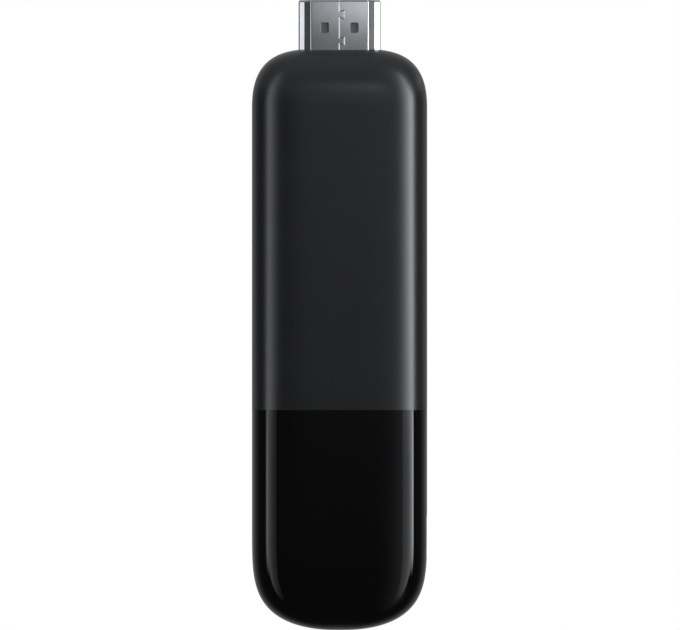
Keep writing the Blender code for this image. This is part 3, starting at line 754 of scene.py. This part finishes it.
def joined(name, *pieces):
    """Joins pieces into one, each with its own material."""
    build = bmesh.new()
    materials = []
    for piece in pieces:
        start = len(build.faces)
        build.from_mesh(piece.data)
        build.faces.ensure_lookup_table()
        for face in build.faces[start:]:
            face.material_index = len(materials)
        materials.append(piece.data.materials[0])
        bpy.data.objects.remove(piece, do_unlink=True)
    mesh = bpy.data.meshes.new(name)
    build.to_mesh(mesh)
    build.free()
    for material in materials:
        mesh.materials.append(material)
    whole = bpy.data.objects.new(name, mesh)
    bpy.context.scene.collection.objects.link(whole)
    return whole


def from_board(low, high, near, far):
    """Two corners of a slice of a box, by distances from its side nearest the board."""
    if low[1] + high[1] < 0:
        return (low[0], high[1] - far, low[2]), (high[0], high[1] - near, high[2])
    return (low[0], low[1] + near, low[2]), (high[0], low[1] + far, high[2])


def slab(name, low, high, edge, material, inset=0.0):
    """A block of one material, with its edges rounded."""
    low = (low[0] + inset, low[1], low[2] + inset)
    high = (high[0] - inset, high[1], high[2] - inset)
    piece = moulded_block(name, low, high, edge)
    piece.data.materials.append(material)
    return piece


chips = ("processor_chip", "memory_chip_1", "memory_chip_2", "storage_chip", "radio_chip", "power_chip")
for node in chips:
    low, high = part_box(node)
    thick = high[1] - low[1]
    cap = slab("cap", *from_board(low, high, 0.42 * thick, thick), 0.05 * MM, mould, 0.02 * MM)
    base = slab("base", *from_board(low, high, 0.18 * thick, 0.42 * thick), 0.0, board_mask)
    feet = from_board(low, high, 0.0, 0.18 * thick)
    columns = int((high[0] - low[0] - ball_room) / ball_pitch) + 1
    lines = int((high[2] - low[2] - ball_room) / ball_pitch) + 1
    first = ((low[0] + high[0] - ball_pitch * (columns - 1)) / 2,
             (low[2] + high[2] - ball_pitch * (lines - 1)) / 2)
    y, reach = feet[0][1], feet[1][1] - feet[0][1]
    form = ((y, 0.7 * ball_radius), (y + 0.5 * reach, ball_radius), (y + reach, 0.7 * ball_radius))
    ball = post("balls", first, form, 8)
    copies(ball, columns, (ball_pitch, 0.0, 0.0), solder)
    copies(ball, lines, (0.0, 0.0, ball_pitch), solder)
    fitted(shade(joined(f"{node}_package", cap, base, ball), None), "chip", node)


# ------------------------------------------------------------
# Clock crystal and power coils. The crystal is a ceramic tray with a metal lid welded on. The coils are
# pressed ferrite blocks with tinned ends, soldered by the power chip.

ferrite, wire = new_material("pressed ferrite")
grit = wire.noise(9000.0, detail=2.0)
finish_material(wire, base=wire.mixed(grit, (0.03, 0.03, 0.032), (0.06, 0.058, 0.056)),
                rough=0.62 + grit * 0.15, normal=wire.bump(grit, 0.012 * MM, 0.7))
ceramic, wire = new_material("dark ceramic")
grit = wire.noise(7000.0, detail=2.0)
finish_material(wire, base=wire.mixed(grit, (0.05, 0.042, 0.036), (0.075, 0.064, 0.055)),
                rough=0.45 + grit * 0.1)

low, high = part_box("clock_crystal")
thick = high[1] - low[1]
tray = slab("tray", *from_board(low, high, 0.0, 0.7 * thick), 0.06 * MM, ceramic)
lid = slab("lid", *from_board(low, high, 0.7 * thick, thick), 0.05 * MM, nickel, 0.2 * MM)
fitted(shade(joined("clock_crystal_package", tray, lid), None), "shield_sheet", "clock_crystal")
for i in range(3):
    low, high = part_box(f"power_coil_{i + 1}")
    thick = high[1] - low[1]
    core = slab("core", *from_board(low, high, 0.04 * MM, thick), 0.22 * MM, ferrite, 0.04 * MM)
    ends = []
    for near, far in ((low[0], low[0] + 0.55 * MM), (high[0] - 0.55 * MM, high[0])):
        corners = from_board((near, low[1], low[2]), (far, high[1], high[2]), 0.0, 0.45 * thick)
        ends.append(slab("end", *corners, 0.03 * MM, solder))
    fitted(shade(joined(f"power_coil_{i + 1}_block", core, *ends), None), "ferrite", f"power_coil_{i + 1}")


# ------------------------------------------------------------
# Shield cans. Tinned steel sheet drawn into two shallow trays, one over the chips on each face of the board,
# with rounded corners, punched vents and a bent edge all round.

tinned, wire = new_material("tinned steel sheet")
drawn = wire.noise(700.0, detail=4.0, roughness=0.6, stretch=(1.0, 1.0, 0.3))
stain = wire.noise(220.0, detail=4.0)
finish_material(
    wire,
    base=wire.mixed(stain.smooth(0.35, 0.75), (0.50, 0.50, 0.49), (0.66, 0.65, 0.62)),
    metal=1.0,
    rough=0.30 + (drawn - 0.5) * 0.15 + stain * 0.08,
    normal=wire.bump(drawn, 0.004 * MM, 0.3),
)
can_sheet = 0.2 * MM
can_corner = 0.9 * MM
can_bend = 0.45 * MM
vent_radius = 0.55 * MM
vent_count, vent_pitch = 7, 2.5 * MM


def drawn_tray(name, low, high, side, inset):
    """A tray's form: straight sides, then a bend into a flat top, moved in by an inset."""
    near, far = (high[1], low[1] + inset) if side < 0 else (low[1], high[1] - inset)
    bend = can_bend - inset
    outline = sheet_outline(low, high, [can_corner] * 4)
    start = near - side * inset
    stations = [(start, 0.0)]
    for i in range(6):
        turn = math.pi / 2 * i / 5
        stations.append((far - side * bend * (1 - math.sin(turn)), bend * (1 - math.cos(turn))))
    return loft(name, [[(x, y, z) for x, z in offset(outline, -inset - move)] for y, move in stations])


for node, side in (("front_shield_can", -1), ("rear_shield_can", 1)):
    low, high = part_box(node)
    can = drawn_tray(f"{node}_tray", low, high, side, 0.0)
    carve(can, drawn_tray("inside", low, high, side, can_sheet))
    vent = (low[0] + 3.2 * MM, low[2] + 2.6 * MM)
    top = low[1] if side < 0 else high[1]
    hole = post("vents", vent, ((top - 0.5 * MM, vent_radius), (top + 0.5 * MM, vent_radius)), 14)
    copies(hole, vent_count, (vent_pitch, 0.0, 0.0), tinned)
    carve(can, hole)
    fitted(shade(can, tinned), "shield_sheet", node)


# ------------------------------------------------------------
# Heat pads. Soft grey silicone filled with ceramic powder, cut from sheet. They carry the chips' heat to the
# cans and the cans' heat to the heat sinks, and bulge a little at their edges where they are pressed.

putty, wire = new_material("filled silicone pad")
powder = wire.noise(6000.0, detail=3.0)
finish_material(wire, base=wire.mixed(powder, (0.20, 0.23, 0.27), (0.27, 0.30, 0.34)),
                rough=0.62 + powder * 0.15, normal=wire.bump(powder, 0.02 * MM, 0.6))
for node in ("processor_heat_pad", "radio_heat_pad", "front_heat_pad", "rear_heat_pad"):
    low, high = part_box(node)
    thick = high[1] - low[1]
    outline = sheet_outline(low, high, [0.8 * MM] * 4)
    rings = []
    for i in range(9):
        share = i / 8
        pinch = 0.25 * thick * (2 * share - 1) ** 2
        rings.append([(x, low[1] + share * thick, z) for x, z in offset(outline, -pinch)])
    fitted(shade(loft(f"{node}_sheet", rings), putty), "heat_pad", node)


# ------------------------------------------------------------
# Heat sinks. Extruded aluminium bars, sawn to length and left bare, one behind each cover. Five grooves down
# the face nearest the cover let air past.

groove_count, groove_pitch, groove_half, groove_depth = 5, 2.9 * MM, 0.7 * MM, 0.5 * MM
aluminium, wire = new_material("extruded aluminium")
drag = wire.noise(1500.0, detail=4.0, roughness=0.6, stretch=(5.0, 5.0, 0.15))
oxide = wire.noise(400.0, detail=3.0)
finish_material(wire, base=wire.mixed(oxide, (0.60, 0.60, 0.61), (0.72, 0.72, 0.73)), metal=1.0,
                rough=0.36 + (drag - 0.5) * 0.2, normal=wire.bump(drag, 0.01 * MM, 0.5))
for node, side in (("front_heat_sink", -1), ("rear_heat_sink", 1)):
    low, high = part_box(node)
    flat, ribbed = (high[1], low[1]) if side < 0 else (low[1], high[1])
    floor_y = ribbed - side * groove_depth
    profile = [(high[0], flat), (low[0], flat), (low[0], ribbed)]
    for i in range(groove_count):
        x = groove_pitch * (i - (groove_count - 1) / 2)
        profile += [(x - groove_half, ribbed), (x - groove_half, floor_y),
                    (x + groove_half, floor_y), (x + groove_half, ribbed)]
    profile.append((high[0], ribbed))
    bar = extruded(f"{node}_bar", profile, 2, low[2], high[2])
    bevelled(bar, 0.12 * MM)
    fitted(shade(bar, aluminium, 35.0), "heat_sink", node)


# ------------------------------------------------------------
# Board screws. Two steel screws with pan heads and cross recesses go through the board into the rear cover's
# bosses, where their rolled threads cut their own way.

steel, wire = new_material("zinc plated screw steel")
rub = wire.noise(2600.0, detail=3.0)
finish_material(
    wire,
    base=wire.mixed(rub.smooth(0.3, 0.7), (0.42, 0.42, 0.43), (0.58, 0.58, 0.60)),
    metal=1.0,
    rough=0.26 + rub * 0.18,
    normal=wire.bump(rub, 0.003 * MM, 0.3),
)
thread_pitch = 0.5 * MM
thread_root, thread_depth = 0.52 * MM, 0.18 * MM
head_height = 0.9 * MM
recess_depth = 0.55 * MM
around = 24
for node, (low, high), place in zip(("upper_board_screw", "lower_board_screw"), screw_boxes, screw_places):
    head = (high[0] - low[0]) / 2
    under = low[1] + head_height
    shape = ((low[1], 0.62 * head), (low[1] + 0.08 * MM, 0.80 * head), (low[1] + 0.25 * MM, 0.94 * head),
             (low[1] + 0.50 * MM, head), (under - 0.06 * MM, head), (under, 0.96 * head))
    top = post("head", place, shape, 40)
    for wide, tall in ((1.7, 0.36), (0.36, 1.7)):
        reach = (wide / 2 * MM, tall / 2 * MM)
        carve(top, moulded_block("recess", (place[0] - reach[0], low[1] - MM, place[1] - reach[1]),
                                 (place[0] + reach[0], low[1] + recess_depth, place[1] + reach[1])))
    rings = []
    length = high[1] - under
    steps = int(8 * length / thread_pitch)
    for i in range(steps + 1):
        y = under - 0.1 * MM + (length + 0.1 * MM) * i / steps
        taper = min(1.0, (high[1] - y) / (0.8 * MM) + 0.35)
        ring = []
        for k in range(around):
            turn = 2 * math.pi * k / around
            phase = (y / thread_pitch + k / around) % 1.0
            radius = (thread_root + thread_depth * max(0.0, 1 - abs(2 * phase - 1) * 1.8)) * taper
            ring.append((place[0] + radius * math.cos(turn), y, place[1] + radius * math.sin(turn)))
        rings.append(ring)
    shank = loft("shank", rings)
    for piece in (top, shank):
        piece.data.materials.append(steel)
    fitted(shade(joined(f"{node}_turned", top, shank), None, 40.0), "screw_steel", node)


# ------------------------------------------------------------
# Antennas. Two blades stamped from bright copper-alloy strip. Each stands on two bent feet soldered to the
# board, behind the gloss cover, which lets radio through.

bronze, wire = new_material("phosphor bronze strip")
rolled = wire.noise(900.0, detail=4.0, stretch=(4.0, 1.0, 0.4))
finish_material(
    wire,
    base=wire.mixed(rolled.smooth(0.3, 0.7), (0.62, 0.40, 0.22), (0.74, 0.52, 0.32)),
    metal=1.0,
    rough=0.24 + rolled * 0.15,
    normal=wire.bump(rolled, 0.003 * MM, 0.3),
)
blade_sheet = 0.2 * MM
foot_width = 1.2 * MM
foot_spacing = 4.0 * MM
for node in ("wifi_antenna", "bluetooth_antenna"):
    low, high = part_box(node)
    outline = sheet_outline(low, high, [0.35 * MM] * 4)
    blade = extruded(f"{node}_blade", outline, 1, low[1], low[1] + blade_sheet)
    outer = high[0] if high[0] > 0 else low[0]
    leg = sorted((outer, outer - math.copysign(blade_sheet, outer)))
    for i in (0, 1):
        z = high[2] - foot_width / 2 - i * foot_spacing - 0.4 * MM
        foot = moulded_block("foot", (leg[0], low[1] + 0.01 * MM, z - foot_width / 2),
                             (leg[1], high[1], z + foot_width / 2))
        carve(blade, foot, "UNION")
    middle = (low[0] + high[0]) / 2
    slot = sheet_outline((middle - 0.35 * MM, 0, low[2] + 1.0 * MM),
                         (middle + 0.35 * MM, 0, high[2] - 3.0 * MM), [0.3 * MM] * 4)
    carve(blade, extruded("slot", slot, 1, low[1] - MM, low[1] + MM))
    bevelled(blade, 0.03 * MM, 1)
    fitted(shade(blade, bronze), "shield_sheet", node)


# ------------------------------------------------------------
# Front cover. The matte upper part of the front, from the same kind of tool as the rear cover. A lip inside
# its edge laps into the rear cover, and its straight lower edge butts against the gloss cover.


def body_outline(inset):
    """The body's outline seen from the front, moved in by an inset."""
    stations = body_stations(body_bottom - MM, MM)
    right = [((half_width - inset) * wide, moved_in(z, inset)) for z, wide, deep in stations]
    return right + [(-x, z) for x, z in reversed(right) if x > 1e-6]


def lap_lip(name, low_z, high_z):
    """The lip inside a front cover's edge, between two heights, that laps into the rear cover."""
    levels = ((-1.2, cover_wall - 0.02 * MM), (-0.12, cover_wall - 0.02 * MM), (0.0, cover_wall + 0.15 * MM),
              (0.8, cover_wall + 0.15 * MM), (0.95, cover_wall + 0.30 * MM))
    lip = loft(name, [[(x, y * MM, z) for x, z in body_outline(inset)] for y, inset in levels])
    carve(lip, extruded("inside", body_outline(cover_wall + 0.8 * MM), 1, -2 * MM, 2 * MM))
    reach = half_width + MM
    carve(lip, moulded_block("span", (-reach, -5 * MM, low_z), (reach, 5 * MM, high_z)), "INTERSECT")
    return lip


gloss_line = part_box("front_gloss_cover")[1][2] + 0.075 * MM
butt_gap = 0.02 * MM
front_cover = cover_shell("front_cover_moulding", gloss_line + butt_gap / 2, MM, -1)
carve(front_cover, lap_lip("lip", gloss_line + 0.1 * MM, MM), "UNION")
carve(front_cover, plug_room("room"))
shade(front_cover, matte_plastic("front matte black plastic", 0.0))
fitted(front_cover, "matte_cover", "front_cover")


# ------------------------------------------------------------
# Gloss cover. The lower part of the front, moulded in a polished tool so that it shines like a piano's
# lacquer. It holds by the same kind of lip, and the antennas sit behind it.

gloss, wire = new_material("polished black plastic")
haze = wire.noise(90.0, detail=3.0, roughness=0.5)
wipe = wire.noise(700.0, detail=4.0, roughness=0.65, stretch=(1.0, 1.0, 3.0))
finish_material(
    wire,
    base=wire.mixed(haze, (0.0016, 0.0016, 0.0018), (0.0022, 0.0022, 0.0025)),
    rough=0.035 + haze.smooth(0.45, 0.75) * 0.012 + wipe.smooth(0.55, 0.8) * 0.010,
    normal=wire.bump(haze, 0.003 * MM, 0.3),
)
gloss_cover = cover_shell("front_gloss_moulding", body_bottom - MM, gloss_line - butt_gap / 2, -1)
carve(gloss_cover, lap_lip("lip", body_bottom - MM, gloss_line - 0.1 * MM), "UNION")
carve(gloss_cover, port_opening("room"))
shade(gloss_cover, gloss)
fitted(gloss_cover, "gloss_cover", "front_gloss_cover")


# ------------------------------------------------------------
# Studio. The camera looks straight at the front from far away. Two tall curved panels stand at the sides,
# each brightest at its outer edge, three small cards light the plug, and the room is dim but for a white
# backdrop and floor that only the camera sees.

low, high = cad_bounds
scene = bpy.context.scene
scene.view_settings.view_transform = "Standard"
scene.view_settings.look = "None"
picture_width, picture_height = 680, 630
view_height = (high[2] - low[2]) * 1.0002
view_width = view_height * picture_width / picture_height
lens = bpy.data.cameras.new("camera")
lens.lens = 500.0
lens.sensor_width = 36.0
lens.clip_start = 0.01
lens.clip_end = 20.0
camera = bpy.data.objects.new("camera", lens)
distance = view_width * lens.lens / lens.sensor_width
camera.location = (0.08 * MM, -distance, high[2] - view_height / 2 + 0.04 * MM)
camera.rotation_euler = (math.pi / 2, 0.0, 0.0)
scene.collection.objects.link(camera)
scene.camera = camera

panel_radius = 0.42
cool_white = (0.955, 0.98, 1.02, 1.0)
panel_low, panel_high = -0.62, 0.55


def panel_from(name, columns, strength, through=1.0):
    """A panel through columns of points, lit by a function of how far across and up it is.

    It shines on both sides, and lets a share of the light from behind it through.
    """
    build = bmesh.new()
    strips = build.loops.layers.uv.new("UVMap")
    grid = [[build.verts.new(point) for point in column] for column in columns]
    across, up = len(grid) - 1, len(grid[0]) - 1
    for i in range(across):
        for k in range(up):
            face = build.faces.new((grid[i][k], grid[i + 1][k], grid[i + 1][k + 1], grid[i][k + 1]))
            for loop, (u, v) in zip(face.loops, ((i, k), (i + 1, k), (i + 1, k + 1), (i, k + 1))):
                loop[strips].uv = (u / across, v / up)
    mesh = bpy.data.meshes.new(name)
    build.to_mesh(mesh)
    build.free()
    panel = bpy.data.objects.new(name, mesh)
    scene.collection.objects.link(panel)
    material, wire = new_material(name)
    place = wire.node("UVMap", uv_map="UVMap")
    u, v = [wire.node("SeparateXYZ", {0: place}, output=i) for i in range(2)]
    shine = wire.node("Emission", {"Color": cool_white, "Strength": strength(u, v)})
    clear = wire.node("BsdfTransparent", {"Color": (through, through, through, 1.0)})
    wire.node("OutputMaterial", {"Surface": wire.node("AddShader", {0: shine, 1: clear})})
    panel.data.materials.append(material)
    panel.visible_camera = False
    panel.visible_shadow = False


def side_panel(name, start, end, low_z, high_z, strength):
    """An upright curved panel between two angles from the camera's direction."""
    columns = []
    for i in range(25):
        angle = math.radians(start + (end - start) * i / 24)
        x, y = panel_radius * math.sin(angle), -panel_radius * math.cos(angle)
        columns.append([(x, y, z) for z in (low_z, high_z)])
    panel_from(name, columns, strength)


def rounded_ends(u, v):
    """Shortens a side panel towards its outer edge, with soft ends."""
    height = panel_high - panel_low
    cut = u.smooth(0.2, 0.8)
    low_end = (v * height - 0.45 * cut).smooth(-0.02, 0.10) * (v * height).smooth(0.09, 0.45)
    high_end = ((1.0 - v) * height - 0.40 * cut).smooth(-0.02, 0.10)
    return low_end * high_end


def upper_part(v):
    """1 on the part of a side panel that stands beside the matte cover, 0 beside the gloss cover."""
    return (v * (panel_high - panel_low) + panel_low).smooth(-0.080, -0.045)


def left_light(u, v):
    """The left panel's strength: brightest near its outer edge, and more even beside the matte cover."""
    shape = 3.7 * u.math("EXPONENT", (u - 1.0) * 2.9) * (1.0 - 0.9 * u.smooth(0.85, 1.0))
    inner = 1.35 - 1.18 * u.smooth(0.5, 0.92)
    return shape * (1.0 + upper_part(v) * (inner - 1.0)) * rounded_ends(u, v)


def right_light(u, v):
    """The right panel's strength: it rises faster towards the outer edge than the left panel's."""
    shape = 0.15 + 9.2 * u.math("EXPONENT", (u - 1.0) * 4.0)
    inner = 2.25 - 1.7 * u.smooth(0.5, 1.0)
    return shape * (1.0 + upper_part(v) * (inner - 1.0)) * rounded_ends(u, v)


def front_light(u, v):
    """The front panel's strength: a soft patch that fades out towards all four edges."""
    upright = v.smooth(0.0, 0.45) * (1.0 - v.smooth(0.5, 0.95))
    return 0.28 * upright * u.smooth(0.0, 0.5) * (1.0 - u.smooth(0.6, 1.0))


def plug_light(u, v):
    """The plug card's strength: it rises towards its upper right corner."""
    return 0.93 * (0.15 + u.smooth(0.0, 0.9)) * (0.03 + v.smooth(0.1, 1.0))


side_panel("left panel", -41.0, -75.5, panel_low, panel_high, left_light)
side_panel("right panel", 41.0, 76.0, panel_low, panel_high, right_light)
columns = [[(x, -0.40, z) for z in (-0.10, 0.28)] for x in (-0.16, 0.20)]
panel_from("front panel", columns, front_light)
card_low, card_high = 0.0, 11 * MM
columns = [[(x, -45 * MM, z) for z in (card_low, card_high)] for x in (-10 * MM, 13 * MM)]
panel_from("plug card", columns, plug_light, through=0.45)
card_radius = 40 * MM
for name, side, glow in (("left plug card", -1, 0.01), ("right plug card", 1, 0.26)):
    columns = []
    for degrees in range(98, 130, 2):
        angle = side * math.radians(degrees)
        x = side * 5.5 * MM + card_radius * math.sin(angle)
        y = -1.5 * MM - card_radius * math.cos(angle)
        columns.append([(x, y, z) for z in (card_low, card_high)])
    panel_from(name, columns, lambda u, v: glow)

floor = bpy.data.meshes.new("floor")
corners = [(x, y, body_bottom - 0.02 * MM) for x, y in ((-3, -3), (3, -3), (3, 3), (-3, 3))]
floor.from_pydata(corners, [], [(0, 1, 2, 3)])
floor_piece = bpy.data.objects.new("floor", floor)
scene.collection.objects.link(floor_piece)
pale, wire = new_material("pale floor")
shine = wire.node("Emission", {"Color": (1.0, 1.0, 1.0, 1.0), "Strength": 1.0})
wire.node("OutputMaterial", {"Surface": shine})
floor.materials.append(pale)
for ray in ("visible_diffuse", "visible_glossy", "visible_transmission", "visible_shadow"):
    setattr(floor_piece, ray, False)

world = bpy.data.worlds.new("studio")
world.use_nodes = True
world.node_tree.nodes.clear()
wire = Wire(world.node_tree)
way = wire.node("TexCoord", output="Generated")
across, back, up = [wire.node("SeparateXYZ", {0: way}, output=i) for i in range(3)]
behind = 0.31 * back.smooth(0.25, 1.0)
wash = 0.37 * (across.smooth(-0.05, 1.35) * 2.0) ** 1.4
wash = wash * (1.0 - back.smooth(-0.6, -0.1)) * (1.0 - across.smooth(0.7, 0.9))
above = 0.03 * up.smooth(-0.2, 0.2) + 0.16 * up.smooth(0.05, 0.5) + 0.12 * up.smooth(0.6, 1.0)
dim = 0.055 + behind + wash + above
direct = wire.node("LightPath", output="Is Camera Ray")
white = wire.node("MixShader", {
    0: direct,
    1: wire.node("Background", {"Color": (0.755, 0.775, 0.81, 1.0), "Strength": dim}),
    2: wire.node("Background", {"Color": (1.0, 1.0, 1.0, 1.0), "Strength": 1.0}),
})
wire.node("OutputWorld", {"Surface": white})
scene.world = world
